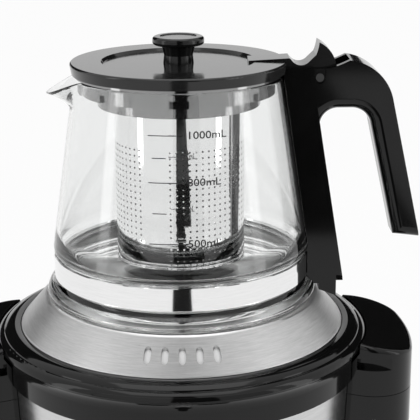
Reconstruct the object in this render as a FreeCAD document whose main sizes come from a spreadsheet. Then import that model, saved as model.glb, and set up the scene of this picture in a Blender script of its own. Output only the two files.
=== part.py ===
import FreeCAD, Part
import math
import os
import Sketcher

# Tea maker: a glass teapot with a steel infuser stands on the steam shelf of a steel boiler.
# Origin: centre of the plane the rubber feet stand on. +Z is up, the front is towards -Y,
# the spout points to -X and the teapot handle to +X. Millimetres.

SIZES = {
    # Heights above the table
    "shelfHeight": 180, "footHeight": 4, "deckHeight": 56, "tankFloor": 62, "tapHeight": 92,
    "panelHeight": 31, "glandHeight": 22,
    # Running and seating clearances
    "seatGap": 0.2, "sideGap": 0.3, "runGap": 0.05, "buttonGap": 0.15,
    # Steel body. The base, tank and tap follow its foot; collar, shelf and teapot its top.
    "bodyTopRadius": 90, "bodyTaper": 5.5, "bodyFootRadius": "=bodyTopRadius - bodyTaper",
    "bodyWall": 1.2,
    # Housing, base plate and feet
    "housingLap": 1.7, "housingTopRadius": "=bodyFootRadius + housingLap",
    "bellySwell": 2.4, "housingBellyRadius": "=housingTopRadius + bellySwell",
    "footTuck": 2.2, "housingFootRadius": "=housingBellyRadius - footTuck",
    "housingBelly": 9, "housingSweep": 12, "housingWall": 3.4, "deckThick": 3,
    "deckMargin": 10, "deckHole": "=heaterRadius + deckMargin",
    "plateInset": 2, "plateRadius": "=housingFootRadius - plateInset", "plateThick": 2.5,
    "footRadius": 9, "footInset": 20.4, "footCircle": "=plateRadius - footInset",
    "footStem": 4, "footLip": 1.5, "screwInset": 8.4,
    "baseScrewCircle": "=plateRadius - screwInset", "screwRadius": 1.5,
    "screwHeadRadius": 3, "screwHeadHigh": 1.6, "screwLong": 12, "bossRadius": 4.5,
    # Control panel in the front of the housing
    "panelProud": 5.4, "panelFace": "=housingBellyRadius + panelProud", "panelThick": 2,
    "panelHalfWide": 46, "panelHalfHigh": 15, "panelCorner": 5,
    "blockHalfWide": 50, "blockHalfHigh": 19, "knobRadius": 14, "knobGrip": 11.8, "knobReach": 16,
    "knobSkirt": 3, "fluteRadius": 1.4, "fluteCount": 12, "shaftRadius": 3, "buttonRadius": 6,
    "buttonProud": 2.5, "buttonPlace": 32, "buttonTravel": 1.5, "buttonStem": 2.5,
    "lensRadius": 2, "lensPlace": 17, "lensRise": 8, "lensProud": 0.8, "lensInset": 4,
    "boardScrewLong": 5, "boardDeep": 26,
    "boardFace": "=panelFace - boardDeep", "boardThick": 1.6, "boardHalfWide": 40,
    "boardHalfHigh": 15, "switchHalf": 3.5, "switchHigh": 3.5, "rotaryRadius": 8,
    "rotaryDeep": 7.8, "postInset": 3, "postRadius": 3, "boardScrew": 1.25,
    # Cord gland and terminal block at the back
    "glandBore": 3.6, "glandNeck": 5.8, "glandFlange": 8, "glandReach": 11,
    "terminalInset": 30.2, "terminalPlace": "=housingTopRadius - terminalInset",
    "terminalHalfWide": 15, "terminalDeep": 12, "terminalHigh": 10,
    # Water tank and heater
    "flangeInset": 2.8, "tankFlange": "=bodyTopRadius - bodyWall - flangeInset",
    "tankSpace": 6.8, "tankRadius": "=bodyFootRadius - bodyWall - tankSpace", "tankWall": 1,
    "tankCorner": 6,
    "gasketThick": 2, "heaterRadius": 58, "heaterThick": 3.2, "elementCircle": 42,
    "elementRadius": 3.8, "thermostatRadius": 9, "thermostatHigh": 7,
    # Black collar round the top of the body
    "tankGap": 1, "collarBore": "=tankRadius + tankGap", "ledgeDepth": 7, "ledgeThick": 5,
    "skirtWall": 1, "skirtRadius": "=bodyTopRadius + seatGap + skirtWall",
    "skirtTop": 14, "skirtDepth": 23.5, "creaseInset": 0.3,
    "creaseRadius": "=skirtRadius - creaseInset", "creaseDrop": 2.7, "beadSwell": 3.8,
    "beadRadius": "=skirtRadius + beadSwell", "beadDrop": 6.8,
    # Steam shelf
    "collarWide": 7.6, "shelfRadius": "=bodyTopRadius - collarWide", "shelfRise": 15.5,
    "slopeWide": 13.6, "shelfSeat": "=shelfRadius - slopeWide", "shelfHole": 30,
    "shelfSheet": 1, "shelfLip": 6, "ventInset": 4.2, "ventLow": "=shelfRadius - ventInset",
    "ventLong": 5.6, "ventHigh": "=ventLow - ventLong", "ventWide": 3.4, "ventCount": 5,
    "ventStep": 6.2, "baffleDrop": 0.8, "baffleThick": 1.2,
    # Side handles
    "gripReach": 23.5, "gripRadius": "=beadRadius + gripReach", "gripHalfAngle": 22.8,
    "gripCorner": 20, "gripTopInner": 4.2, "gripTopOuter": 10.4, "gripSplit": 31,
    "gripDepth": 60, "gripEdge": 2.5, "grooveStart": 4,
    "grooveInner": "=bodyTopRadius + grooveStart", "grooveInset": 7,
    "grooveOuter": "=gripRadius - grooveInset", "grooveAngle": 19.9, "grooveTop": 11.5,
    "grooveBottom": 17.5, "channelStart": 8.5, "channelInner": "=bodyTopRadius + channelStart",
    "channelInset": 11, "channelOuter": "=gripRadius - channelInset", "channelDepth": 44,
    "gripCurve": 38, "tuckInset": 6, "gripTuck": "=gripRadius - tuckInset", "gripSweep": 22,
    "gripBoltDrop": 37.5, "gripBoltPlace": 14, "gripBoltRadius": 2, "gripBoltHead": 4,
    # Tap
    "tapThread": 6.9, "tapBore": 4.5, "tapTube": 8.5, "tapFlange": 13, "tapFlangeThick": 2,
    "tapNeck": 2, "tapNeckBend": 2.5, "tapOut": 31.5, "tapReach": "=bodyFootRadius + tapOut",
    "barrelRadius": 9.5, "barrelHigh": 12, "barrelLow": 16, "nozzleRadius": 6.5, "nozzleLow": 26,
    "nozzleBore": 4, "plugRadius": 5, "plugLow": 10, "plugHole": 3, "washerThick": 1.2,
    "washerRadius": 11.5, "nutRadius": 11, "nutThick": 4.4, "keyReach": 24, "keyHalf": 5,
    "keyThick": 5, "keyHub": 8,
    # Glass teapot
    "potSeatInset": 0.6, "potFoot": "=shelfSeat - potSeatInset", "footRingWide": 6.2,
    "potFootIn": "=potFoot - footRingWide", "potFootHigh": 5.2, "waistInset": 5.2,
    "waistRadius": "=potFoot - waistInset", "waistLow": 9.4, "waistHigh": 20.6,
    "bulgeSwell": 1.3, "bulgeRadius": "=waistRadius + bulgeSwell", "bulgeHigh": 24.6,
    "rimDraw": 12.5, "rimRadius": "=bulgeRadius - rimDraw", "rimHigh": 109.8,
    "glassWall": 2.4, "glassFloor": 5, "floorCorner": 5,
    "spoutReach": 14.4, "spoutTip": "=rimRadius + spoutReach", "spoutSink": 5.8,
    "spoutRoot": "=rimRadius - spoutSink", "spoutStep": 5.2,
    "spoutMid": "=rimRadius + spoutStep", "spoutTipHalf": 3.6, "spoutMidHalf": 9,
    "spoutRootHalf": 15, "spoutTipDrop": 7.2, "spoutMidDrop": 2.6, "spoutTipDeep": 3.8,
    "spoutMidDeep": 11.6, "spoutRootDeep": 23, "spoutWall": 2,
    # Steel hoop round the waist, and its screw
    "hoopWall": 1.1, "hoopHigh": 10.8, "hoopBoss": 2.4, "hoopBossHalf": 6, "hoopScrew": 2,
    "hoopScrewHead": 3.8, "screwSeatDeep": 13.5, "hoopScrewSeat": "=waistRadius + screwSeatDeep",
    # Teapot handle: heights from the pot's foot plane, places out from its foot radius
    "handleHalf": 11, "cheekTop": 113.5, "crownHigh": 117.4, "crownPlace": 14.8,
    "crownSweep": 60, "crownRadius": 25, "shoulderPlace": 36.4, "shoulderHigh": 97.5,
    "tipOuter": 51.9, "tipInner": 38.7, "tipHigh": 26.8, "tipSlant": 1.6, "gripTop": 26,
    "gripTopHigh": 86, "archHigh": 93.3, "archRight": 17, "archLeft": 9.4, "archRadius": 9,
    "spineTop": 0.9, "spineTopHigh": 84.8, "spineFoot": 14, "spineLow": 3.6, "toeRight": 10.2,
    "toeLow": 3, "toeLeft": 1.4, "handleRound": 5.2, "pinReach": 16.7,
    "pinPlace": "=rimRadius + pinReach", "pinHigh": 109, "pinRadius": 2, "bushRadius": 2.8,
    "bushInset": 1.2, "pinInset": 0.5, "pocketHalf": 7.7, "pocketReach": 17.3, "leverHub": 3.6,
    # Lid, its lever and knob, measured from the glass rim
    "lidLap": 1.5, "lidRadius": "=rimRadius + lidLap", "lidUnder": 1.4, "lidThick": 5.5,
    "dishInset": 16.3, "dishRadius": "=lidRadius - dishInset", "dishDepth": 1.4,
    "lidEdge": 1.1, "notchDeep": 3, "notchPlace": "=lidRadius - notchDeep", "leverHalf": 7.3,
    "armLong": 19.3, "armStart": "=lidRadius - armLong", "armReach": 0.7,
    "armEnd": "=lidRadius + armReach", "armRise": 1.4, "crestBack": 0.2,
    "crestPlace": "=pinPlace - crestBack", "crestHigh": 15.9, "finReach": 8.2,
    "finPlace": "=pinPlace + finReach", "finHigh": 4.9, "knobStem": 7.5, "knobStemHigh": 9,
    "capRadius": 12.7, "capHigh": 4.2, "capRound": 1.6, "capDish": 8.5, "capDishDeep": 0.5,
    "lidScrew": 2, "lidScrewHead": 4, "sealGap": 0.5, "sealRadius": "=mouthRadius - sealGap",
    "sealWall": 2.4, "sealDepth": 3,
    # Infuser, measured from the glass rim
    "rimInset": 0.8, "flangeRadius": "=rimRadius - rimInset", "flangeThick": 1.2,
    "mouthInset": 7.6, "mouthRadius": "=rimRadius - mouthInset", "tierInset": 4.4,
    "tierRadius": "=rimRadius - tierInset", "tierDepth": 8.2, "tierFloor": 1.5,
    "neckStep": 7.2, "neckRadius": "=tierRadius - neckStep", "neckDepth": 14.1,
    "neckFloor": 2, "pocketWall": 2, "neckPocket": "=neckRadius - pocketWall",
    "basketInset": 8, "basketRadius": "=neckRadius - basketInset", "boreGap": 0.9,
    "neckBore": "=basketRadius + boreGap", "basketFlangeGap": 0.4,
    "basketFlange": "=neckPocket - basketFlangeGap", "scallopCount": 8, "scallopWide": 9,
    "scallopHigh": 4, "scallopDeep": 1.6, "basketWall": 0.6, "basketCorner": 4,
    "basketDeep": 94,
}

BAFFLE_SWEEP = 40

doc = FreeCAD.newDocument("tea_maker")
sheet = doc.addObject("Spreadsheet::Sheet", "sizes")
for row, alias in enumerate(SIZES, 1):
    sheet.set(f"A{row}", alias)
    sheet.setAlias(f"B{row}", alias)
for row, entry in enumerate(SIZES.values(), 1):
    sheet.set(f"B{row}", str(entry))
doc.recompute()


class Size:
    """A length and the sheet formula that gives it, so geometry and bindings stay together."""

    def __init__(self, value, text):
        self.value = value
        self.text = text

    def __add__(self, other):
        other = asSize(other)
        return Size(self.value + other.value, f"({self.text} + {other.text})")

    def __sub__(self, other):
        other = asSize(other)
        return Size(self.value - other.value, f"({self.text} - {other.text})")

    def __mul__(self, other):
        other = asSize(other)
        return Size(self.value * other.value, f"({self.text} * {other.text})")

    def __truediv__(self, other):
        other = asSize(other)
        return Size(self.value / other.value, f"({self.text} / {other.text})")

    def __neg__(self):
        return Size(-self.value, f"(-1 * {self.text})")

    def __radd__(self, other):
        return asSize(other) + self

    def __rsub__(self, other):
        return asSize(other) - self

    def __rmul__(self, other):
        return asSize(other) * self


def asSize(number):
    return number if isinstance(number, Size) else Size(float(number), repr(float(number)))


def at(alias):
    return Size(float(sheet.get(alias)), f"sizes.{alias}")


def root(size):
    return Size(math.sqrt(size.value), f"sqrt({size.text})")


def cosine(angle):
    angle = asSize(angle)
    return Size(math.cos(math.radians(angle.value)), f"cos({angle.text})")


def sine(angle):
    angle = asSize(angle)
    return Size(math.sin(math.radians(angle.value)), f"sin({angle.text})")


def onCircle(radius, angle):
    return (asSize(radius) * cosine(angle), asSize(radius) * sine(angle))


def isZero(size):
    return abs(size.value) < 1e-9 and "sizes" not in size.text


# Sketches: every corner and radius is held by a constraint bound to the sheet

def bindLast(sketch, constraint, size):
    index = sketch.addConstraint(constraint)
    if "sizes" in size.text:
        sketch.setExpression(f"Constraints[{index}]", size.text)


def holdPoint(sketch, geometry, point, x, y):
    """Hold one point of a sketch at x, y."""
    if isZero(x):
        sketch.addConstraint(Sketcher.Constraint("PointOnObject", geometry, point, -2))
    else:
        bindLast(sketch, Sketcher.Constraint("DistanceX", -1, 1, geometry, point, x.value), x)
    if isZero(y):
        sketch.addConstraint(Sketcher.Constraint("PointOnObject", geometry, point, -1))
    else:
        bindLast(sketch, Sketcher.Constraint("DistanceY", -1, 1, geometry, point, y.value), y)


def arcBetween(start, end, radius):
    """Short arc from start to end. A positive radius has its centre left of the way there."""
    chord = end - start
    half = chord.Length / 2
    reach = math.sqrt(max(radius * radius - half * half, 0))
    left = FreeCAD.Vector(-chord.y, chord.x, 0).normalize()
    centre = (start + end) / 2 + left * (reach if radius > 0 else -reach)
    middle = centre - left * (abs(radius) if radius > 0 else -abs(radius))
    if radius > 0:
        return Part.Arc(start, middle, end), (1, 2)
    return Part.Arc(end, middle, start), (2, 1)


def addOutline(sketch, corners):
    """Closed outline through corners (x, y) or (x, y, radius), an arc on the way to that corner."""
    corners = [tuple(asSize(number) for number in corner) for corner in corners]
    points = [FreeCAD.Vector(corner[0].value, corner[1].value, 0) for corner in corners]
    sides = []
    for index, corner in enumerate(corners):
        start = points[index - 1]
        end = points[index]
        if len(corner) == 3:
            arc, ends = arcBetween(start, end, corner[2].value)
            geometry = sketch.addGeometry(arc)
            sides.append((geometry, ends, corner[2]))
        else:
            geometry = sketch.addGeometry(Part.LineSegment(start, end))
            sides.append((geometry, (1, 2), None))
    for index, (geometry, ends, radius) in enumerate(sides):
        nextGeometry, nextEnds, _ = sides[(index + 1) % len(sides)]
        sketch.addConstraint(
            Sketcher.Constraint("Coincident", geometry, ends[1], nextGeometry, nextEnds[0]))
        holdPoint(sketch, geometry, ends[1], corners[index][0], corners[index][1])
        if radius is not None:
            size = radius if radius.value > 0 else -radius
            bindLast(sketch, Sketcher.Constraint("Radius", geometry, size.value), size)


def addCircle(sketch, x, y, radius):
    x, y, radius = asSize(x), asSize(y), asSize(radius)
    centre = FreeCAD.Vector(x.value, y.value, 0)
    geometry = sketch.addGeometry(Part.Circle(centre, FreeCAD.Vector(0, 0, 1), radius.value))
    holdPoint(sketch, geometry, 3, x, y)
    bindLast(sketch, Sketcher.Constraint("Radius", geometry, radius.value), radius)


def circle(x, y, radius):
    return {"circle": (x, y, radius)}


def box(left, low, right, high):
    return [(left, low), (right, low), (right, high), (left, high)]


def roundedBox(left, low, right, high, corner):
    return [(right - corner, low), (right, low + corner, corner), (right, high - corner),
            (right - corner, high, corner), (left + corner, high), (left, high - corner, corner),
            (left, low + corner), (left + corner, low, corner)]


# Bodies and features

def newBody(label, x=0, y=0, z=0, turn=0):
    body = doc.addObject("PartDesign::Body", label)
    body.Label = label
    body.Placement = FreeCAD.Placement(
        FreeCAD.Vector(0, 0, 0), FreeCAD.Rotation(FreeCAD.Vector(0, 0, 1), turn))
    for axis, size in zip("xyz", (x, y, z)):
        if isinstance(size, Size):
            body.setExpression(f"Placement.Base.{axis}", size.text)
    return body


def newSketch(body, name, plane, offset, loops):
    role = f"{plane}_Plane"
    origin = next(item for item in body.Origin.OriginFeatures if item.Role == role)
    sketch = body.newObject("Sketcher::SketchObject", f"{body.Name}_{name}_sketch")
    sketch.AttachmentSupport = [(origin, "")]
    sketch.MapMode = "FlatFace"
    offset = asSize(offset)
    sketch.AttachmentOffset = FreeCAD.Placement(
        FreeCAD.Vector(0, 0, offset.value), FreeCAD.Rotation())
    if "sizes" in offset.text:
        sketch.setExpression("AttachmentOffset.Base.z", offset.text)
    for loop in loops:
        if isinstance(loop, dict):
            addCircle(sketch, *loop["circle"])
        else:
            addOutline(sketch, loop)
    return sketch


def extrude(body, name, plane, loops, low, high, cut=False):
    """Pad or pocket from coordinate low to high along the axis the plane faces."""
    low, high = asSize(low), asSize(high)
    offset = -high if plane == "XZ" else low
    sketch = newSketch(body, name, plane, offset, loops)
    kind = "PartDesign::Pocket" if cut else "PartDesign::Pad"
    feature = body.newObject(kind, f"{body.Name}_{name}")
    feature.Profile = sketch
    feature.Reversed = cut
    length = high - low
    feature.Length = length.value
    if "sizes" in length.text:
        feature.setExpression("Length", length.text)
    return feature


def revolve(body, name, corners, plane="XZ", cut=False, angle=360):
    """Turn an outline about Z, or about Y for the YZ plane."""
    sketch = newSketch(body, name, plane, 0, [corners])
    kind = "PartDesign::Groove" if cut else "PartDesign::Revolution"
    feature = body.newObject(kind, f"{body.Name}_{name}")
    feature.Profile = sketch
    feature.ReferenceAxis = (sketch, ["V_Axis" if plane == "XZ" else "H_Axis"])
    feature.Angle = angle
    return feature


def loft(body, name, plane, sections, cut=False):
    """Loft through (offset, outline) sections on parallel planes."""
    sketches = [newSketch(body, f"{name}{index}", plane, offset, [corners])
                for index, (offset, corners) in enumerate(sections)]
    kind = "PartDesign::SubtractiveLoft" if cut else "PartDesign::AdditiveLoft"
    feature = body.newObject(kind, f"{body.Name}_{name}")
    feature.Profile = sketches[0]
    feature.Sections = sketches[1:]
    return feature


def polar(body, name, features, count, angle=360, axis="Z"):
    pattern = body.newObject("PartDesign::PolarPattern", f"{body.Name}_{name}")
    line = next(item for item in body.Origin.OriginFeatures if item.Role == f"{axis}_Axis")
    pattern.Originals = features
    pattern.Axis = (line, [""])
    pattern.Angle = angle
    pattern.Occurrences = int(count.value)
    pattern.setExpression("Occurrences", count.text)
    body.Tip = pattern
    return pattern


def roundEdges(body, name, radius, wanted):
    """Fillet the edges of the body's last feature that the test picks."""
    doc.recompute()
    base = body.Tip
    picked = [f"Edge{number}" for number, edge in enumerate(base.Shape.Edges, 1) if wanted(edge)]
    fillet = body.newObject("PartDesign::Fillet", f"{body.Name}_{name}")
    fillet.Base = (base, picked)
    fillet.Radius = radius.value
    fillet.setExpression("Radius", radius.text)
    return fillet


# Heights that several pieces share
shelf = at("shelfHeight")
foot = at("footHeight")
deck = at("deckHeight")
plateTop = foot + at("plateThick")
ledge = shelf - at("ledgeDepth")
collarUnder = ledge - at("ledgeThick")
tankRim = collarUnder - at("gasketThick")
potBase = shelf + at("shelfRise") + at("seatGap")
rim = potBase + at("rimHigh")
lidBase = rim + at("lidUnder")
lidTop = lidBase + at("lidThick")
panelFace = -at("panelFace")
panelBack = panelFace + at("panelThick")
boardFace = -at("boardFace")


# Base: feet, plate, screws

def footSpots():
    """Four feet near the edge and one in the middle, under the weight of the water."""
    return [(0, 0)] + [onCircle(at("footCircle"), angle) for angle in (45, 135, 225, 315)]


def baseScrewSpots():
    return [onCircle(at("baseScrewCircle"), angle) for angle in (-12, 60, 120, 192)]


def makeFeet():
    body = newBody("rubber_feet")
    spots = footSpots()
    extrude(body, "pads", "XY", [circle(x, y, at("footRadius")) for x, y in spots], 0, foot)
    extrude(body, "stems", "XY", [circle(x, y, at("footStem")) for x, y in spots], foot,
            plateTop + at("footLip"))


def makeBasePlate():
    body = newBody("base_plate")
    holes = [circle(x, y, at("footStem") + at("runGap")) for x, y in footSpots()]
    holes += [circle(x, y, at("screwRadius") + at("runGap")) for x, y in baseScrewSpots()]
    extrude(body, "disc", "XY", [circle(0, 0, at("plateRadius"))] + holes, foot, plateTop)


def makeBaseScrews():
    body = newBody("base_screws")
    spots = baseScrewSpots()
    extrude(body, "heads", "XY", [circle(x, y, at("screwHeadRadius")) for x, y in spots],
            foot - at("screwHeadHigh"), foot)
    extrude(body, "shanks", "XY", [circle(x, y, at("screwRadius")) for x, y in spots],
            foot, foot + at("screwLong"))


def panelHoles():
    """Holes through the panel and the housing for the shaft, buttons and lenses."""
    middle = at("panelHeight")
    holes = [circle(0, middle, at("shaftRadius") + at("sideGap"))]
    for side in (-1, 1):
        holes.append(circle(at("buttonPlace") * side, middle, at("buttonRadius") + at("buttonGap")))
        holes.append(circle(at("lensPlace") * side, middle + at("lensRise"),
                            at("lensRadius") + at("runGap")))
    return holes


def boardScrewSpots():
    wide = at("boardHalfWide") - at("postInset")
    tall = at("boardHalfHigh") - at("postInset")
    middle = at("panelHeight")
    return [(wide * side, middle + tall * end) for side in (-1, 1) for end in (-1, 1)]


def makeHousing():
    body = newBody("base_housing")
    wall = at("housingWall")
    belly = foot + at("housingBelly")
    under = deck - at("deckThick")
    revolve(body, "outside", [
        (0, foot), (at("housingFootRadius"), foot),
        (at("housingBellyRadius"), belly, at("housingSweep")), (at("housingTopRadius"), deck),
        (0, deck)])
    middle = at("panelHeight")
    wide, tall = at("blockHalfWide"), at("blockHalfHigh")
    extrude(body, "front", "XZ",
            [roundedBox(-wide, middle - tall, wide, middle + tall, at("panelCorner"))],
            panelBack, boardFace)
    revolve(body, "cavity", [
        (0, foot), (at("plateRadius") + at("sideGap"), foot),
        (at("plateRadius") + at("sideGap"), plateTop + at("seatGap")),
        (at("housingBellyRadius") - wall, belly + wall),
        (at("housingTopRadius") - wall, under), (0, under)], cut=True)
    extrude(body, "deck_hole", "XY", [circle(0, 0, at("deckHole"))], under, deck, cut=True)
    bosses = [circle(x, y, at("bossRadius")) for x, y in baseScrewSpots()]
    bosses += [circle(x, y, at("screwRadius") + at("runGap")) for x, y in baseScrewSpots()]
    extrude(body, "bosses", "XY", bosses, plateTop + at("seatGap"), under)
    posts = [circle(x, z, at("postRadius")) for x, z in boardScrewSpots()]
    extrude(body, "posts", "XZ", posts, boardFace - 9, boardFace)
    pilots = [circle(x, z, at("boardScrew") + at("runGap")) for x, z in boardScrewSpots()]
    extrude(body, "pilots", "XZ", pilots, boardFace - 7, boardFace, cut=True)
    extrude(body, "panel_holes", "XZ", panelHoles(), panelBack, boardFace - 0.5, cut=True)
    extrude(body, "gland_hole", "XZ",
            [circle(0, at("glandHeight"), at("glandNeck") + at("runGap"))],
            at("housingTopRadius") - wall * 2, at("housingBellyRadius") + 2, cut=True)


def makePanel():
    body = newBody("control_panel")
    middle = at("panelHeight")
    wide, tall = at("panelHalfWide"), at("panelHalfHigh")
    face = roundedBox(-wide, middle - tall, wide, middle + tall, at("panelCorner"))
    extrude(body, "plate", "XZ", [face] + panelHoles(), panelFace, panelBack)


def makeSelector():
    knob = newBody("selector_knob", z=at("panelHeight"))
    back = panelFace - at("seatGap") * 2
    front = panelFace - at("knobReach")
    skirt = back - at("knobSkirt")
    shaftEnd = front + 6
    revolve(knob, "turned", [
        (back, at("shaftRadius") + at("runGap")), (back, at("knobRadius")),
        (skirt, at("knobRadius") - 0.6), (skirt, at("knobGrip")),
        (front + 1.2, at("knobGrip") - 0.6), (front, at("knobGrip") - 1.8),
        (front, 0), (shaftEnd, 0), (shaftEnd, at("shaftRadius") + at("runGap"))], plane="YZ")
    count = at("fluteCount")
    flute = extrude(knob, "flute", "XZ", [circle(0, at("knobGrip") + 0.5, at("fluteRadius"))],
                    front - 1, skirt, cut=True)
    polar(knob, "flutes", [flute], count, axis="Y")
    extrude(knob, "pointer", "XZ", [box(-0.8, 3.5, 0.8, at("knobGrip") - 2.5)],
            front - 1, front + 0.6, cut=True)
    shaft = newBody("selector_shaft", z=at("panelHeight"))
    extrude(shaft, "rod", "XZ", [circle(0, 0, at("shaftRadius"))], shaftEnd + at("seatGap"),
            boardFace - at("rotaryDeep") - at("seatGap"))


def makeButtons():
    for label, side in (("start_button", -1), ("warm_button", 1)):
        body = newBody(label, x=at("buttonPlace") * side, z=at("panelHeight"))
        front = panelFace - at("buttonProud")
        back = panelBack + 3
        stop = boardFace - at("switchHigh") - at("buttonTravel") - 1.2
        cap, stem = at("buttonRadius"), at("buttonStem")
        revolve(body, "turned", [
            (front, 0), (front, cap - 0.8), (front + 0.8, cap, -0.8),
            (back, cap), (back, stem), (stop, stem), (stop, 0)], plane="YZ")


def makeElectronics():
    middle = at("panelHeight")
    board = newBody("control_board")
    wide, tall = at("boardHalfWide"), at("boardHalfHigh")
    holes = [circle(x, z, at("boardScrew") + at("runGap") * 2) for x, z in boardScrewSpots()]
    extrude(board, "plate", "XZ", [box(-wide, middle - tall, wide, middle + tall)] + holes,
            boardFace, boardFace + at("boardThick"))
    screws = newBody("board_screws")
    spots = boardScrewSpots()
    back = boardFace + at("boardThick")
    extrude(screws, "shanks", "XZ", [circle(x, z, at("boardScrew")) for x, z in spots],
            boardFace - at("boardScrewLong"), back)
    extrude(screws, "heads", "XZ", [circle(x, z, at("boardScrew") * 2) for x, z in spots],
            back, back + at("screwHeadHigh"))
    switches = newBody("button_switches")
    half = at("switchHalf")
    cases = []
    buttons = []
    for side in (-1, 1):
        place = at("buttonPlace") * side
        cases.append(box(place - half, middle - half, place + half, middle + half))
        buttons.append(circle(place, middle, half / 2))
    extrude(switches, "cases", "XZ", cases, boardFace - at("switchHigh"), boardFace)
    extrude(switches, "plungers", "XZ", buttons, boardFace - at("switchHigh") - 0.8,
            boardFace - at("switchHigh"))
    rotary = newBody("rotary_switch", z=middle)
    extrude(rotary, "case", "XZ", [circle(0, 0, at("rotaryRadius"))],
            boardFace - at("rotaryDeep"), boardFace)
    lenses = newBody("indicator_lenses")
    spots = [(at("lensPlace") * side, middle + at("lensRise")) for side in (-1, 1)]
    extrude(lenses, "rods", "XZ", [circle(x, z, at("lensRadius")) for x, z in spots],
            panelFace - at("lensProud"), panelBack + at("lensInset"))
    terminals = newBody("terminal_block")
    place, half = at("terminalPlace"), at("terminalHalfWide")
    extrude(terminals, "case", "XY", [box(-half, place - at("terminalDeep") / 2, half,
                                          place + at("terminalDeep") / 2)],
            plateTop, plateTop + at("terminalHigh"))
    wells = [circle(half * step * 0.6, place, 2.2) for step in (-1, 0, 1)]
    extrude(terminals, "wells", "XY", wells, plateTop + at("terminalHigh") - 4,
            plateTop + at("terminalHigh"), cut=True)


def makeGland():
    body = newBody("cord_gland", z=at("glandHeight"))
    outer = at("housingBellyRadius") + at("seatGap")
    inner = at("housingTopRadius") - at("housingWall") - 2.4
    bore, neck, flange = at("glandBore"), at("glandNeck"), at("glandFlange")
    revolve(body, "turned", [
        (inner, bore), (inner, neck + 1), (inner + 1.5, neck + 1), (inner + 1.5, neck),
        (outer, neck), (outer, flange), (outer + 2, flange, 2),
        (outer + at("glandReach"), bore + 1.6), (outer + at("glandReach"), bore)], plane="YZ")


# Steel body, tank and heater

def bodyRadiusAt(height):
    """Outer radius of the tapered steel body at a height."""
    taper = (at("bodyTopRadius") - at("bodyFootRadius")) / (collarUnder - deck)
    return at("bodyFootRadius") + (height - deck) * taper


def gripBoltSpots():
    height = shelf - at("gripBoltDrop")
    return [(at("gripBoltPlace") * side, height) for side in (-1, 1)]


def makeOuterBody():
    body = newBody("outer_body")
    top = collarUnder - at("seatGap")
    wall = at("bodyWall")
    low, high = bodyRadiusAt(deck), bodyRadiusAt(top)
    revolve(body, "wall", [(low, deck), (high, top), (high - wall, top), (low - wall, deck)])
    extrude(body, "tap_hole", "XZ",
            [circle(0, at("tapHeight"), at("tapThread") + at("sideGap"))],
            -at("tapReach"), -at("tankRadius"), cut=True)
    bolts = [circle(y, z, at("gripBoltRadius") + at("runGap")) for y, z in gripBoltSpots()]
    extrude(body, "bolt_holes", "YZ", bolts, -at("gripRadius"), at("gripRadius"), cut=True)


def makeTank():
    body = newBody("inner_tank")
    floor, wall, corner = at("tankFloor"), at("tankWall"), at("tankCorner")
    out = at("tankRadius")
    revolve(body, "wall", [
        (0, floor), (out - corner, floor), (out, floor + corner, corner), (out, tankRim - wall),
        (at("tankFlange"), tankRim - wall), (at("tankFlange"), tankRim), (out - wall, tankRim),
        (out - wall, floor + corner), (out - corner, floor + wall, -(corner - wall)),
        (0, floor + wall)])
    extrude(body, "tap_hole", "XZ",
            [circle(0, at("tapHeight"), at("tapThread") + at("sideGap"))],
            -out - 2, -out + 6, cut=True)
    gasket = newBody("tank_gasket")
    extrude(gasket, "ring", "XY", [circle(0, 0, at("tankFlange") - 0.5),
                                   circle(0, 0, at("collarBore"))], tankRim, collarUnder)


def makeHeater():
    plate = newBody("heater_plate")
    top = at("tankFloor")
    under = top - at("heaterThick")
    extrude(plate, "disc", "XY", [circle(0, 0, at("heaterRadius"))], under, top)
    element = newBody("heating_element")
    ring, rod = at("elementCircle"), at("elementRadius")
    middle = under - rod
    revolve(element, "ring", [
        (ring, middle + rod, rod), (ring - rod, middle, rod), (ring, middle - rod, rod),
        (ring + rod, middle, rod)], angle=330)
    thermostat = newBody("thermostat")
    extrude(thermostat, "case", "XY", [circle(0, 0, at("thermostatRadius"))],
            under - at("thermostatHigh"), under)
    extrude(thermostat, "tabs", "XY", [box(-7, -1.5, -4, 1.5), box(4, -1.5, 7, 1.5)],
            under - at("thermostatHigh") - 5, under - at("thermostatHigh"))


# Black collar and steam shelf

def makeCollar():
    body = newBody("top_collar")
    bore = at("shelfRadius") + 0.5
    crease = at("creaseRadius")
    skirt = at("skirtRadius")
    inside = skirt - at("skirtWall")
    revolve(body, "ring", [
        (bore, shelf - 0.8), (crease, shelf - at("creaseDrop"), -9),
        (crease + 0.3, shelf - at("creaseDrop") - 0.5),
        (at("beadRadius"), shelf - at("beadDrop"), -4.4),
        (skirt + 0.1, shelf - at("skirtTop"), 9.5),
        (skirt, shelf - at("skirtDepth")), (inside, shelf - at("skirtDepth")),
        (inside, collarUnder), (at("collarBore"), collarUnder), (at("collarBore"), ledge),
        (bore, ledge)])
    gasket = newBody("shelf_gasket")
    extrude(gasket, "ring", "XY", [circle(0, 0, bore - 0.9), circle(0, 0, at("collarBore") + 1)],
            ledge, ledge + at("gasketThick"))


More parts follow.
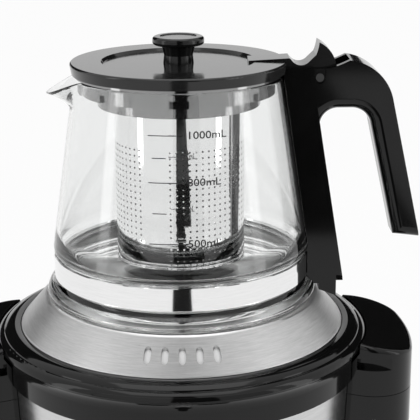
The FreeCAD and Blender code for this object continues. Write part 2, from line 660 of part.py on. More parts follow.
def makeShelf():
    body = newBody("steam_shelf")
    gauge = at("shelfSheet")
    rimOut, seat = at("shelfRadius"), shelf + at("shelfRise")
    hole = at("shelfHole")
    low = ledge + at("gasketThick") + at("seatGap")
    revolve(body, "pressed", [
        (hole, seat - at("shelfLip")), (hole, seat - 1.5), (hole + 1.5, seat, -1.5),
        (at("shelfSeat") - 1.5, seat), (at("shelfSeat") + 0.8, seat - 1.2, -3),
        (rimOut - 0.4, shelf), (rimOut, shelf - 0.6), (rimOut, low), (rimOut - gauge, low),
        (rimOut - gauge, shelf - 1), (at("shelfSeat") - 0.6, seat - gauge),
        (hole + gauge, seat - gauge), (hole + gauge, seat - at("shelfLip"))])
    half = at("ventWide") / 2
    start = -90 - at("ventStep") * (at("ventCount") - 1) / 2
    vents = []
    for number in range(int(at("ventCount").value)):
        angle = start + at("ventStep") * number
        vents.append(slotAlong(angle, at("ventHigh"), at("ventLow"), half))
    extrude(body, "vents", "XY", vents, shelf - 1, seat + 1, cut=True)


def makeBaffle():
    """White plate behind the vents that turns the steam."""
    body = newBody("vent_baffle", turn=-90 - BAFFLE_SWEEP / 2)
    gauge = at("shelfSheet")
    slope = at("shelfRise") / (at("shelfRadius") - gauge - at("shelfSeat") + 0.6)

    def under(radius, drop):
        return (radius, shelf - gauge + (at("shelfRadius") - gauge - radius) * slope - drop)
    near, far = at("ventHigh") - 1.2, at("ventLow") + 1
    drop = at("baffleDrop")
    thick = drop + at("baffleThick")
    revolve(body, "plate", [under(near, drop), under(far, drop), under(far, thick),
                            under(near, thick)], angle=BAFFLE_SWEEP)


def slotAlong(angle, near, far, half):
    """Round-ended slot along a radius of the XY plane."""
    def corner(along, across):
        return (along * cosine(angle) - across * sine(angle),
                along * sine(angle) + across * cosine(angle))
    bend = half * 1.0001
    return [corner(far - half, -half), corner(far, 0) + (bend,),
            corner(far - half, half) + (bend,), corner(near + half, half),
            corner(near, 0) + (bend,), corner(near + half, -half) + (bend,)]


# Side handles: an upper and a lower half on each side

def gripOutline():
    angle, out = at("gripHalfAngle"), at("gripRadius")
    inner = at("tankRadius")
    return [onCircle(inner, -angle), onCircle(out, -angle), onCircle(out, angle) + (out,),
            onCircle(inner, angle)]


def seatOnBody(body):
    """Cut the handle to the collar and the tapered body."""
    gap = at("seatGap")
    bead = at("beadRadius") + gap
    skirt = at("skirtRadius") + gap
    low = shelf - at("gripDepth") - 2
    edge = shelf - at("skirtDepth") - gap
    revolve(body, "seat", [
        (0, shelf + 2), (bead, shelf + 2), (bead, shelf - at("beadDrop") - 2),
        (skirt + 0.2, shelf - at("skirtTop")), (skirt, edge), (bodyRadiusAt(edge) + gap, edge),
        (bodyRadiusAt(low) + gap, low), (0, low)], cut=True)


def isUpright(edge):
    ends = [vertex.Point for vertex in edge.Vertexes]
    if len(ends) != 2:
        return False
    return abs(ends[0].x - ends[1].x) < 0.01 and abs(ends[0].y - ends[1].y) < 0.01


def makeGripTop(label, turn):
    body = newBody(label, turn=turn)
    out = at("gripRadius")
    split = shelf - at("gripSplit")
    extrude(body, "block", "XY", [gripOutline()], split, shelf)
    far = out + 3
    near = at("tankRadius") - 6
    slope = (at("gripTopOuter") - at("gripTopInner")) / (out - at("bodyTopRadius"))
    highNear = shelf - at("gripTopInner") + slope * (at("bodyTopRadius") - near)
    highFar = shelf - at("gripTopInner") - slope * (far - at("bodyTopRadius"))
    extrude(body, "slope", "XZ", [[(near, highNear), (far, highFar), (far, shelf + 8),
                                   (near, shelf + 8)]], -out, out, cut=True)
    reach = out.value * 0.97
    roundEdges(body, "corners", at("gripCorner"),
               lambda edge: isUpright(edge) and edge.Vertexes[0].Point.Length > 0
               and math.hypot(edge.Vertexes[0].X, edge.Vertexes[0].Y) > reach)
    middle = (shelf - at("gripTopOuter") - 4).value
    limit = at("beadRadius").value + 3
    roundEdges(body, "top_edge", at("gripEdge"),
               lambda edge: min(vertex.Z for vertex in edge.Vertexes) > middle
               and max(math.hypot(vertex.X, vertex.Y) for vertex in edge.Vertexes) > limit)
    grooves = []
    for side in (-1, 1):
        start, end = at("grooveAngle") * side, (at("gripHalfAngle") + 4) * side
        corners = [onCircle(at("grooveInner"), start), onCircle(at("grooveOuter"), start),
                   onCircle(at("grooveOuter"), end), onCircle(at("grooveInner"), end)]
        grooves.append(corners)
    extrude(body, "grooves", "XY", grooves, shelf - at("grooveBottom"), shelf - at("grooveTop"),
            cut=True)
    seatOnBody(body)


def makeGripBottom(label, turn):
    body = newBody(label, turn=turn)
    out = at("gripRadius")
    low = shelf - at("gripDepth")
    high = shelf - at("gripSplit") - at("sideGap")
    extrude(body, "block", "XY", [gripOutline()], low, high)
    reach = out.value * 0.97
    roundEdges(body, "corners", at("gripCorner"),
               lambda edge: isUpright(edge)
               and math.hypot(edge.Vertexes[0].X, edge.Vertexes[0].Y) > reach)
    inner, outer = at("channelInner"), at("channelOuter")
    roof = shelf - at("channelDepth")
    bend = (outer - inner) / 2
    revolve(body, "channel", [
        (inner, low - 1), (outer, low - 1), (outer, roof - bend),
        (outer - bend, roof, bend), (inner, roof - bend, bend)], cut=True)
    curve = shelf - at("gripCurve")
    revolve(body, "tuck", [
        (out, curve), (at("gripTuck"), low, -at("gripSweep")), (at("gripTuck"), low - 1),
        (out + 4, low - 1), (out + 4, curve)], cut=True)
    bolts = [circle(y, z, at("gripBoltRadius") + at("runGap")) for y, z in gripBoltSpots()]
    extrude(body, "bolt_holes", "YZ", bolts, at("tankRadius"), inner, cut=True)
    seatOnBody(body)


def makeGripBolts():
    for label, turn in (("right_handle_bolts", 0), ("left_handle_bolts", 180)):
        body = newBody(label, turn=turn)
        height = shelf - at("gripBoltDrop")
        face = bodyRadiusAt(height) - at("bodyWall") - 2.6
        shanks = [circle(y, z, at("gripBoltRadius")) for y, z in gripBoltSpots()]
        heads = [circle(y, z, at("gripBoltHead")) for y, z in gripBoltSpots()]
        extrude(body, "shanks", "YZ", shanks, face, at("channelInner") - 0.5)
        extrude(body, "heads", "YZ", heads, face - 2.4, face)


# Tap

def makeTap():
    height = at("tapHeight")
    reach = at("tapReach")
    thread, bore = at("tapThread"), at("tapBore")
    flangeBack = -bodyRadiusAt(height + at("washerRadius")) - at("washerThick") - at("seatGap")
    flangeFront = flangeBack - at("tapFlangeThick")
    washerIn = -at("tankRadius") + at("tankWall") + 0.9
    nutBack = washerIn + at("washerThick") + at("nutThick")
    body = newBody("tap_body", z=height)
    revolve(body, "tube", [
        (nutBack + 2, 0), (nutBack + 2, thread), (flangeBack, thread),
        (flangeBack, at("tapFlange")), (flangeFront, at("tapFlange")),
        (flangeFront - at("tapNeck"), at("tapTube"), at("tapNeckBend")),
        (-reach + 2, at("tapTube")), (-reach + 2, 0)],
        plane="YZ")
    spot = (0, -reach)
    extrude(body, "barrel", "XY", [circle(*spot, at("barrelRadius"))], -at("barrelLow"),
            at("barrelHigh"))
    extrude(body, "nozzle", "XY", [circle(*spot, at("nozzleRadius"))], -at("nozzleLow"),
            -at("barrelLow"))
    extrude(body, "plug_bore", "XY", [circle(*spot, at("plugRadius") + at("runGap"))],
            -at("plugLow"), at("barrelHigh"), cut=True)
    extrude(body, "nozzle_bore", "XY", [circle(*spot, at("nozzleBore"))], -at("nozzleLow"),
            -at("plugLow"), cut=True)
    extrude(body, "water_way", "XZ", [circle(0, 0, bore)], -reach, nutBack + 3, cut=True)
    washers = newBody("tap_washers", z=height)
    ring = [circle(0, 0, at("washerRadius")), circle(0, 0, thread + at("runGap"))]
    extrude(washers, "outer", "XZ", ring, flangeBack, flangeBack + at("washerThick"))
    extrude(washers, "inner", "XZ", ring, washerIn, washerIn + at("washerThick"))
    nut = newBody("tap_nut", z=height)
    hexagon = [onCircle(at("nutRadius"), 60 * step) for step in range(6)]
    extrude(nut, "hexagon", "XZ", [hexagon, circle(0, 0, thread + at("runGap"))],
            washerIn + at("washerThick"), nutBack)
    plug = newBody("tap_plug", y=-reach, z=height)
    top = at("barrelHigh") + at("seatGap")
    radius = at("plugRadius")
    extrude(plug, "rod", "XY", [circle(0, 0, radius)], -at("plugLow") + at("seatGap"), top)
    extrude(plug, "head", "XY", [circle(0, 0, at("keyHub") - 1)], top, top + 2)
    extrude(plug, "drain", "XY", [circle(0, 0, at("plugHole"))], -at("plugLow"), 0, cut=True)
    extrude(plug, "inlet", "YZ", [circle(0, 0, at("plugHole"))], 0, radius + 1, cut=True)
    key = newBody("tap_key", y=-reach, z=height)
    half = at("keyHalf")
    low = top + 2
    extrude(key, "arm", "XY", [[(-half, 0), (-half, -at("keyReach")),
                                (half, -at("keyReach"), half * 1.0001), (half, 0)]],
            low, low + at("keyThick"))
    extrude(key, "hub", "XY", [circle(0, 0, at("keyHub"))], low, low + at("keyThick"))


# Glass teapot

def potOutside(gap, top):
    """Outer outline of the glass from the foot up, pushed out by a gap."""
    bulge = potBase + at("bulgeHigh")
    return [(at("potFoot") + gap, potBase + 1.8), (at("potFoot") - 1.4 + gap,
            potBase + at("potFootHigh")), (at("waistRadius") + gap, potBase + at("waistLow"), -7),
            (at("waistRadius") + gap, potBase + at("waistHigh")),
            (at("bulgeRadius") + gap, bulge, 5), (at("rimRadius") + gap, top)]


def spoutSection(half, top, deep, inset=0):
    """Pouring lip section: flat on top, two arcs meeting in a keel."""
    half, top, deep = asSize(half) - inset, asSize(top), asSize(deep)
    low = top - deep + inset
    high = top + (1 if inset else 0)
    bend = half * 1.1 + deep * 0.9
    return [(half, high), (0, low, -bend), (-half, high, -bend)]


def makePot():
    body = newBody("glass_pot")
    edge = at("glassWall") / 2
    inner = at("rimRadius") - at("glassWall")
    revolve(body, "outside", [
        (0, potBase + 1.5), (at("potFootIn") - 2, potBase + 1.5), (at("potFootIn"), potBase),
        (at("potFoot") - 1.8, potBase)] + [potOutside(0, rim)[0] + (1.8,)]
        + potOutside(0, rim - edge)[1:] + [(at("rimRadius") - edge, rim, edge), (0, rim)])
    sections = [
        (-at("spoutRoot"), spoutSection(at("spoutRootHalf"), rim, at("spoutRootDeep"))),
        (-at("spoutMid"), spoutSection(at("spoutMidHalf"), rim - at("spoutMidDrop"),
                                       at("spoutMidDeep"))),
        (-at("spoutTip"), spoutSection(at("spoutTipHalf"), rim - at("spoutTipDrop"),
                                       at("spoutTipDeep")))]
    loft(body, "spout", "YZ", sections)
    wall, corner = at("glassWall"), at("floorCorner")
    floor = potBase + at("glassFloor")
    waist = at("waistRadius") - wall
    revolve(body, "inside", [
        (0, floor), (waist - corner, floor), (waist, floor + corner, corner),
        (waist, potBase + at("waistHigh")), (at("bulgeRadius") - wall, potBase + at("bulgeHigh"), 5),
        (inner, rim), (0, rim)], cut=True)
    inset = at("spoutWall")
    cuts = [
        (-at("spoutRoot") + 4, spoutSection(at("spoutRootHalf"), rim, at("spoutRootDeep"), inset)),
        (-at("spoutMid"), spoutSection(at("spoutMidHalf"), rim - at("spoutMidDrop"),
                                       at("spoutMidDeep"), inset)),
        (-at("spoutTip") - 0.5, spoutSection(at("spoutTipHalf"), rim - at("spoutTipDrop"),
                                             at("spoutTipDeep"), inset))]
    loft(body, "lip", "YZ", cuts, cut=True)


def makeHoop():
    body = newBody("pot_hoop")
    inner = at("waistRadius") + at("seatGap")
    outer = inner + at("hoopWall")
    low = potBase + at("waistLow") + at("seatGap")
    high = low + at("hoopHigh")
    revolve(body, "band", [(inner, low), (outer, low), (outer, high), (inner, high)])
    half = at("hoopBossHalf")
    middle = (low + high) / 2
    extrude(body, "boss", "YZ", [box(-half, low + 1, half, high - 1)],
            root(inner * inner - half * half) + 0.8, outer + at("hoopBoss"))
    extrude(body, "tapped_hole", "YZ", [circle(0, middle, at("hoopScrew") + at("runGap"))],
            inner - 1, outer + at("hoopBoss") + 1, cut=True)
    screw = newBody("hoop_screw", z=middle)
    seat = at("hoopScrewSeat")
    extrude(screw, "shank", "YZ", [circle(0, 0, at("hoopScrew"))], inner + 0.4, seat)
    extrude(screw, "head", "YZ", [circle(0, 0, at("hoopScrewHead"))], seat, seat + 2.4)


def beside(alias):
    """Place along the handle, out from the pot's foot radius."""
    return at("potFoot") + at(alias)


def handleOutline():
    base = potBase
    tip = base + at("tipHigh")
    spineLow = base + at("spineLow")
    return [
        (at("rimRadius") - at("glassWall"), base + at("cheekTop")),
        (at("pinPlace") + 4.5, base + at("cheekTop")),
        (beside("crownPlace"), base + at("crownHigh"), at("crownSweep")),
        (beside("shoulderPlace"), base + at("shoulderHigh"), -at("crownRadius")),
        (beside("tipOuter"), tip), (beside("tipInner"), tip + at("tipSlant")),
        (beside("gripTop"), base + at("gripTopHigh")),
        (beside("archRight"), base + at("archHigh"), at("archRadius") + 1),
        (beside("archLeft"), base + at("archHigh")),
        (beside("spineTop"), base + at("spineTopHigh"), at("archRadius")),
        (beside("spineFoot"), spineLow), (beside("toeRight"), spineLow),
        (beside("toeRight"), base - at("toeLow")), (beside("toeLeft"), base + 0.4),
        (beside("toeLeft"), spineLow), (at("waistRadius") - 3, spineLow)]


def pinSpot():
    return at("pinPlace"), potBase + at("pinHigh")


def makePotHandle():
    body = newBody("pot_handle")
    half = at("handleHalf")
    extrude(body, "profile", "XZ", [handleOutline()], -half, half)
    floor = (potBase + at("spineLow") + 1).value
    outerLimit = beside("crownPlace").value + 0.5
    archLow = (potBase + at("archHigh") + 0.5).value
    spine = beside("spineTop").value - 0.5

    def isGripEdge(edge):
        ends = [vertex.Point for vertex in edge.Vertexes]
        if any(abs(abs(end.y) - half.value) > 0.01 for end in ends) or ends[0].y != ends[-1].y:
            return False
        if min(end.z for end in ends) < floor - 1.5:
            return False
        outside = min(end.x for end in ends) > outerLimit - 1
        inside = min(end.x for end in ends) > spine and max(end.z for end in ends) < archLow
        return outside or inside
    roundEdges(body, "rounding", at("handleRound"), isGripEdge)
    gap = at("sideGap")
    revolve(body, "pot_side", [(0, potBase - 1), (at("potFoot") + gap, potBase - 1)]
            + potOutside(gap, rim) + [(at("rimRadius") + gap, lidTop + 6), (0, lidTop + 6)], cut=True)
    hoopOut = at("waistRadius") + at("seatGap") + at("hoopWall") + gap
    hoopLow = potBase + at("waistLow") + at("seatGap") - gap
    hoopHigh = hoopLow + at("hoopHigh") + gap * 2
    revolve(body, "hoop_side", [(hoopOut - 4, hoopLow), (hoopOut, hoopLow), (hoopOut, hoopHigh),
                                (hoopOut - 4, hoopHigh)], cut=True)
    bossHalf = at("hoopBossHalf") + gap
    extrude(body, "boss_pocket", "YZ", [box(-bossHalf, hoopLow, bossHalf, hoopHigh)],
            at("waistRadius") - 4, hoopOut + at("hoopBoss"), cut=True)
    middle = (hoopLow + hoopHigh) / 2
    seat = at("hoopScrewSeat")
    extrude(body, "screw_hole", "YZ", [circle(0, middle, at("hoopScrew") + at("runGap"))],
            at("waistRadius"), seat, cut=True)
    extrude(body, "screw_well", "YZ", [circle(0, middle, at("hoopScrewHead") + gap)],
            seat, beside("spineFoot") + 4, cut=True)
    x, z = pinSpot()
    reach = at("pocketReach")
    top = potBase + at("crownHigh") + 4
    deep = at("leverHub") + 0.5
    extrude(body, "lever_pocket", "XZ", [[
        (48, top), (48, z - deep), (x - 8, z - deep), (x - 3, z - deep * 2.4),
        (x + 5.5, z - deep * 2.4), (x + 9.5, z - 8), (x + reach - 2, z - 4.4), (x + reach, z + 0.5),
        (x + reach - 0.6, z + 4.5), (x + reach - 2.6, z + 8.5), (x + reach - 2.6, top)]],
        -at("pocketHalf"), at("pocketHalf"), cut=True)
    bush = at("bushRadius") + at("runGap")
    extrude(body, "pin_slots", "XZ", [[
        (x - bush, top), (x - bush, z), (x, z - bush, bush * 1.0001),
        (x + bush, z, bush * 1.0001), (x + bush, top)]], -half - 1, half + 1, cut=True)


def makeHinge():
    x, z = pinSpot()
    half, inner = at("handleHalf"), at("pocketHalf")
    bush = at("bushRadius")
    bushes = newBody("hinge_bushes")
    top = potBase + at("cheekTop") - 0.2
    outline = [(x - bush, top), (x - bush, z), (x, z - bush, bush * 1.0001),
               (x + bush, z, bush * 1.0001), (x + bush, top)]
    hole = circle(x, z, at("pinRadius") + at("runGap"))
    face = half - at("bushInset")
    extrude(bushes, "front", "XZ", [outline, hole], -face, -inner)
    extrude(bushes, "back", "XZ", [outline, hole], inner, face)
    pin = newBody("hinge_pin", x=x, z=z)
    end = half - at("pinInset")
    extrude(pin, "rod", "XZ", [circle(0, 0, at("pinRadius"))], -end, end)


# Lid with its thumb lever

def makeLid():
    body = newBody("lid")
    out, edge = at("lidRadius"), at("lidEdge")
    dish = at("dishRadius")
    revolve(body, "disc", [
        (0, lidBase), (out - 0.8, lidBase), (out, lidTop - edge), (out - edge, lidTop, edge),
        (dish + 1, lidTop), (dish, lidTop - at("dishDepth")), (0, lidTop - at("dishDepth"))])
    notch = at("notchPlace")
    side = at("handleHalf") + at("sideGap") * 2
    extrude(body, "notch", "XY", [box(notch, -side, out + 2, side)], lidBase - 1, lidTop + 1,
            cut=True)
    x, z = pinSpot()
    hub = at("leverHub")
    start, end = at("armStart"), at("armEnd")
    under = lidBase + 1.7
    crest, fin = at("crestPlace"), at("finPlace")
    extrude(body, "lever", "XZ", [[
        (start, lidTop - at("dishDepth") - 1), (start, lidTop + 0.4),
        (end, lidTop + at("armRise")), (end + 1.8, lidTop - 0.6),
        (end + 9.6, lidTop - 0.2, 5.4), (end + 12.8, lidTop + 2.9),
        (crest, rim + at("crestHigh"), 22), (fin, rim + at("finHigh"), -15),
        (fin - 1.6, rim + at("finHigh") - 1.8), (x + hub, z + 2), (x + hub, z),
        (x, z - hub, -hub * 1.0001), (x - hub, z, -hub * 1.0001), (x - hub - 3, under),
        (start + 6, under), (start + 6, lidTop - at("dishDepth") - 1)]],
        -at("leverHalf"), at("leverHalf"))
    extrude(body, "pin_hole", "XZ", [circle(x, z, at("pinRadius") + at("runGap") / 2)],
            -at("leverHalf") - 1, at("leverHalf") + 1, cut=True)
    extrude(body, "knob_hole", "XY", [circle(0, 0, at("lidScrew") + at("runGap"))],
            lidBase, lidTop, cut=True)


def makeLidKnob():
    body = newBody("lid_knob")
    low = lidTop - at("dishDepth")
    cap = low + at("knobStemHigh")
    top = cap + at("capHigh")
    stem, out, bend = at("knobStem"), at("capRadius"), at("capRound")
    dish = at("capDish")
    hole = at("lidScrew") + at("runGap")
    revolve(body, "turned", [
        (hole, low), (stem, low), (stem - 0.4, low + 4), (stem + 0.6, cap - 0.6),
        (out - bend, cap), (out, cap + bend, bend), (out, top - bend),
        (out - bend, top, bend), (dish + 0.6, top), (dish, top - at("capDishDeep")),
        (0, top - at("capDishDeep")), (0, cap), (hole, cap)])
    screw = newBody("knob_screw")
    extrude(screw, "shank", "XY", [circle(0, 0, at("lidScrew"))], lidBase, cap - 0.5)
    extrude(screw, "head", "XY", [circle(0, 0, at("lidScrewHead"))], lidBase - 1.8, lidBase)
    seal = newBody("lid_seal")
    extrude(seal, "ring", "XY", [circle(0, 0, at("sealRadius")),
                                 circle(0, 0, at("sealRadius") - at("sealWall"))],
            lidBase - at("sealDepth"), lidBase)


def makeInfuser():
    collar = newBody("infuser_collar")
    mouth, tier, neck = at("mouthRadius"), at("tierRadius"), at("neckRadius")
    tierLow = rim - at("tierDepth")
    neckLow = rim - at("neckDepth")
    neckSeat = neckLow + at("neckFloor")
    pocket = at("neckPocket")
    revolve(collar, "moulding", [
        (mouth, rim + at("flangeThick")), (mouth, tierLow + at("tierFloor")),
        (pocket, tierLow + at("tierFloor")), (pocket, neckSeat), (at("neckBore"), neckSeat),
        (at("neckBore"), neckLow), (neck, neckLow), (neck, tierLow), (tier, tierLow),
        (tier, rim), (at("flangeRadius"), rim), (at("flangeRadius"), rim + at("flangeThick"))])
    half = at("scallopWide") / 2
    scallop = extrude(collar, "scallop", "XY",
                      [box(tier - at("scallopDeep"), -half, tier + 2, half)],
                      tierLow, tierLow + at("scallopHigh"), cut=True)
    polar(collar, "scallops", [scallop], at("scallopCount"))
    basket = newBody("infuser_basket")
    out, wall, corner = at("basketRadius"), at("basketWall"), at("basketCorner")
    floor = rim - at("basketDeep")
    revolve(basket, "pressed", [
        (0, floor), (out - corner, floor), (out, floor + corner, corner), (out, neckSeat),
        (at("basketFlange"), neckSeat), (at("basketFlange"), neckSeat + wall),
        (out - wall, neckSeat + wall), (out - wall, floor + corner),
        (out - corner, floor + wall, -(corner - wall)), (0, floor + wall)])


makeFeet()
makeBasePlate()
makeBaseScrews()
makeHousing()
makePanel()
makeSelector()
makeButtons()
makeElectronics()
makeGland()
makeOuterBody()
makeTank()
makeHeater()
makeCollar()
makeShelf()
makeBaffle()
for name, turn in (("right", 0), ("left", 180)):
    makeGripTop(f"{name}_handle_top", turn)
    makeGripBottom(f"{name}_handle_bottom", turn)
makeGripBolts()
makeTap()
makePot()
makeHoop()
makePotHandle()
makeHinge()
makeLid()
makeLidKnob()
makeInfuser()

doc.recompute()

failed = [item.Name for item in doc.Objects if {"Invalid", "Error"} & set(item.State)]
bodies = [item for item in doc.Objects if item.TypeId == "PartDesign::Body"]
for body in bodies:
    if body.Shape.isNull() or not body.Shape.isValid() or not body.Shape.Solids:
        failed.append(body.Label)
if failed:
    raise RuntimeError(f"These did not build: {failed}")

os.makedirs("parts", exist_ok=True)
for body in bodies:
    body.Shape.exportStep(f"parts/{body.Label}.step")
print(f"{len(bodies)} nodes written")
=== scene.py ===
import bpy
import bmesh
import math
from mathutils import Matrix, Vector


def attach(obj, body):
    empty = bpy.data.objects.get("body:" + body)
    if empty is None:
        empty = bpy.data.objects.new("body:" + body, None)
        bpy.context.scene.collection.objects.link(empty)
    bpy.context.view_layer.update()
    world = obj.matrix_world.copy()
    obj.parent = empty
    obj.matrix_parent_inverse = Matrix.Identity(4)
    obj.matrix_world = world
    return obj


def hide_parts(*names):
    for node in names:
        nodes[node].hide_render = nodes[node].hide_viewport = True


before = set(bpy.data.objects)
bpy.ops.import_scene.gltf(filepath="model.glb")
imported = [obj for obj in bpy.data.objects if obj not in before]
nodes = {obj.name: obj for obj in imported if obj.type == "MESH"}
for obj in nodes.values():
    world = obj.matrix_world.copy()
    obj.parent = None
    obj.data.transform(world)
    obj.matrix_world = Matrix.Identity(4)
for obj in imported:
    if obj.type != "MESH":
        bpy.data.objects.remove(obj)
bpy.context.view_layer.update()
scene = bpy.context.scene
scene.view_settings.view_transform = "Standard"

# pieces are drawn in millimetres and made in metres
mm = 0.001

# how near two points count as one: on a flat drawing in millimetres, then in metres
flatWeld = 0.01
weld = 1e-6
tight = 1e-7

# levels in millimetres above the table
shelfLevel = 180.0
potFloor = 195.7
rimLevel = 305.5


# shapes

def addObject(name, bm):
    mesh = bpy.data.meshes.new(name)
    bm.to_mesh(mesh)
    bm.free()
    item = bpy.data.objects.new(name, mesh)
    scene.collection.objects.link(item)
    return item


def finishMesh(name, bm, material, body, sharpAngle, replaced=()):
    piece = addObject(name, bm)
    mesh = piece.data
    for face in mesh.polygons:
        face.use_smooth = True
    mesh.set_sharp_from_angle(angle=math.radians(sharpAngle))
    mesh.materials.append(material)
    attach(piece, body)
    if replaced:
        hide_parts(*replaced)


def roundedPath(corners, arcStep):
    # a corner is (x, y), or (x, y, radius) where an arc leads to it, turning right if negative
    path = []
    for index, corner in enumerate(corners):
        end = Vector(corner[:2])
        if len(corner) == 2:
            path.append(end)
            continue
        start = Vector(corners[index - 1][:2])
        chord = end - start
        radius = abs(corner[2])
        side = 1 if corner[2] > 0 else -1
        reach = math.sqrt(max(radius * radius - chord.length_squared / 4, 0))
        centre = (start + end) / 2 + Vector((-chord.y, chord.x)).normalized() * reach * side
        sweep = (start - centre).angle(end - centre)
        count = max(2, math.ceil(math.degrees(sweep) / arcStep))
        for turn in range(1, count + 1):
            spin = Matrix.Rotation(side * sweep * turn / count, 2)
            path.append(centre + spin @ (start - centre))
    return path


def lathe(corners, steps, arcStep):
    # turn an outline of (radius, height) about the upright axis
    bm = bmesh.new()
    path = roundedPath(corners, arcStep)
    verts = [bm.verts.new((point.x * mm, 0, point.y * mm)) for point in path]
    edges = [bm.edges.new(pair) for pair in zip(verts, verts[1:])]
    bmesh.ops.spin(bm, geom=verts + edges, axis=(0, 0, 1), cent=(0, 0, 0),
                   angle=math.tau, steps=steps, use_merge=True, use_duplicate=False)
    bmesh.ops.remove_doubles(bm, verts=bm.verts, dist=weld)
    bmesh.ops.dissolve_degenerate(bm, edges=bm.edges, dist=tight)
    bmesh.ops.recalc_face_normals(bm, faces=bm.faces)
    return bm


def edgesAt(bm, axis, level, near):
    return [edge for edge in bm.edges
            if all(abs(vert.co[axis] - level) < near for vert in edge.verts)]


def drawOutLoop(bm, axis, level, near):
    # extrude the open loop at one level and give back its new corners
    made = bmesh.ops.extrude_edge_only(bm, edges=edgesAt(bm, axis, level, near))["geom"]
    return [item for item in made if isinstance(item, bmesh.types.BMVert)]


def addBar(bm, x, y, wide, high, turn=0.0, segments=1):
    made = bmesh.ops.create_grid(bm, x_segments=segments, y_segments=1, size=0.5)["verts"]
    bmesh.ops.scale(bm, vec=(wide, high, 1), verts=made)
    bmesh.ops.rotate(bm, cent=(0, 0, 0), matrix=Matrix.Rotation(turn, 3, "Z"), verts=made)
    bmesh.ops.translate(bm, vec=(x, y, 0), verts=made)


def addRing(bm, x, y, inner, outer, start=0, end=360, steps=48):
    # a flat ring, or the part of one between two angles in degrees
    first = math.radians(start)
    sweep = math.radians(end) - first
    near, far = [bm.verts.new((x + radius * math.cos(first), y + radius * math.sin(first), 0))
                 for radius in (inner, outer)]
    edge = bm.edges.new((near, far))
    bmesh.ops.spin(bm, geom=[near, far, edge], cent=(x, y, 0), axis=(0, 0, 1), angle=sweep,
                   steps=steps, use_merge=end - start == 360, use_duplicate=False)


def addText(bm, words, size, x, y, align="LEFT", stretch=1.0, bold=0.0):
    curve = bpy.data.curves.new("words", "FONT")
    curve.body = words
    curve.size = size
    curve.align_x = align
    curve.align_y = "CENTER"
    curve.resolution_u = 3
    curve.offset = bold
    holder = bpy.data.objects.new("words", curve)
    mesh = bpy.data.meshes.new_from_object(holder)
    bpy.data.objects.remove(holder)
    bpy.data.curves.remove(curve)
    mesh.transform(Matrix.Translation((x, y, 0)) @ Matrix.Diagonal((stretch, 1, 1, 1)))
    bm.from_mesh(mesh)
    bpy.data.meshes.remove(mesh)


# materials

grain = {
    "noiseLow": 0.3, "noiseHigh": 0.7, "lift": 0.0001, "tintFrom": 0.35, "tintTo": 0.65,
    "plasticScale": 900, "plasticTint": 35, "plasticRough": (0.85, 1.2),
    "steelScale": 400, "steelTint": 18, "steelTones": (0.97, 1.03), "steelRough": (0.7, 1.3),
}
# the fade key is the width in millimetres over which the painted light on the shelf's seat runs
# out
brushing = {
    "alongTurn": 0.004, "detail": 5, "noiseRough": 0.7, "roughRange": (0.75, 1.3),
    "anisotropic": 0.75, "paintedLightFade": 1.5,
}


def grey(level):
    return (level, level, level)


def newMaterial(name):
    material = bpy.data.materials.new(name)
    material.use_nodes = True
    tree = material.node_tree
    return material, tree, tree.nodes["Principled BSDF"]


def setInputs(node, **values):
    for key, value in values.items():
        node.inputs[key.replace("_", " ")].default_value = value


def addNode(tree, kind, **values):
    node = tree.nodes.new(kind)
    for key, value in values.items():
        setattr(node, key, value)
    return node


def addRamp(tree, start, end, low, high):
    ramp = addNode(tree, "ShaderNodeValToRGB")
    stops = ramp.color_ramp.elements
    stops[0].position = start
    stops[0].color = (*low, 1)
    stops[1].position = end
    stops[1].color = (*high, 1)
    return ramp


def addGrain(tree, shader, scale, roughRange, bump, lift=grain["lift"], detail=4):
    # fine noise that varies the roughness and lifts the surface a little
    place = addNode(tree, "ShaderNodeTexCoord")
    noise = addNode(tree, "ShaderNodeTexNoise")
    setInputs(noise, Scale=scale, Detail=detail)
    spread = addNode(tree, "ShaderNodeMapRange")
    setInputs(spread, From_Min=grain["noiseLow"], From_Max=grain["noiseHigh"],
              To_Min=roughRange[0], To_Max=roughRange[1])
    raised = addNode(tree, "ShaderNodeBump")
    setInputs(raised, Strength=bump, Distance=lift)
    link = tree.links.new
    link(place.outputs["Object"], noise.inputs["Vector"])
    link(noise.outputs["Fac"], spread.inputs["Value"])
    link(spread.outputs["Result"], shader.inputs["Roughness"])
    link(noise.outputs["Fac"], raised.inputs["Height"])
    link(raised.outputs["Normal"], shader.inputs["Normal"])


def addTint(tree, shader, low, high, scale):
    # slow variation between two near colours
    place = addNode(tree, "ShaderNodeTexCoord")
    noise = addNode(tree, "ShaderNodeTexNoise")
    setInputs(noise, Scale=scale, Detail=3)
    ramp = addRamp(tree, grain["tintFrom"], grain["tintTo"], low, high)
    link = tree.links.new
    link(place.outputs["Object"], noise.inputs["Vector"])
    link(noise.outputs["Fac"], ramp.inputs["Fac"])
    link(ramp.outputs["Color"], shader.inputs["Base Color"])


def makePlastic(name, low, high, rough, bump, gloss=0.5):
    material, tree, shader = newMaterial(name)
    setInputs(shader, Specular_IOR_Level=gloss)
    addTint(tree, shader, low, high, grain["plasticTint"])
    roughRange = [rough * share for share in grain["plasticRough"]]
    addGrain(tree, shader, grain["plasticScale"], roughRange, bump)
    return material


def makeSteel(name, level, rough, bump, scale=grain["steelScale"]):
    material, tree, shader = newMaterial(name)
    setInputs(shader, Metallic=1.0)
    low, high = [grey(level * share) for share in grain["steelTones"]]
    addTint(tree, shader, low, high, grain["steelTint"])
    roughRange = [rough * share for share in grain["steelRough"]]
    addGrain(tree, shader, scale, roughRange, bump)
    return material


